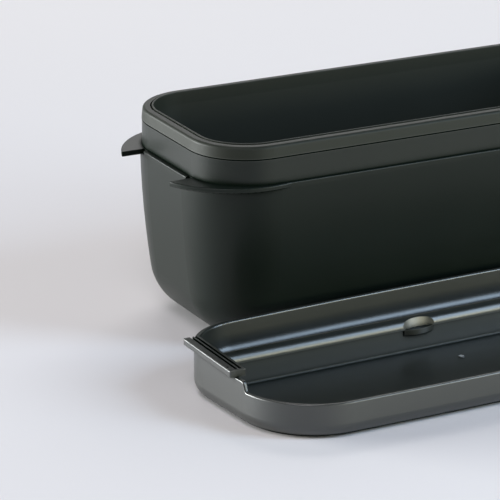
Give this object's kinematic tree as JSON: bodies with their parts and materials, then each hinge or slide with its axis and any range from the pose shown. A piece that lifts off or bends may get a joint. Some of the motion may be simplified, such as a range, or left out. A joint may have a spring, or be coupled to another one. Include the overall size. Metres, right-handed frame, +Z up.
{
  "type": "bento box",
  "caption": "Slim dark plastic bento box, open: winged outer box with a lift-out food tub, and a shallow tray lid with a chopstick channel in front.",
  "frame": {"origin": "middle of the outer box's flat base, on the table", "axes": "+X along the box, +Y to its back (the tray lid lies on the -Y side), +Z up out of the open top"},
  "size_m": [0.2049, 0.1467, 0.0694],
  "materials": {
    "outer_tub_plastic": "satin",
    "inner_tub_plastic": "satin",
    "tray_plastic": "polished"
  },
  "bodies": {
    "outer_box": {"outer_tub": "outer_tub_plastic"},
    "food_tub": {"inner_tub": "inner_tub_plastic"},
    "tray": {"tray_lid": "tray_plastic"}
  },
  "joints": [
    {"name": "inner_tub_lift", "type": "slide", "parent": "outer_box", "child": "food_tub", "axis": [0, 0, 1], "range_m": [0, 0.075]},
    {"name": "tray_lid_lift", "type": "slide", "parent": "outer_box", "child": "tray", "axis": [0, 0, 1], "range_m": [0, 0.075]}
  ]
}
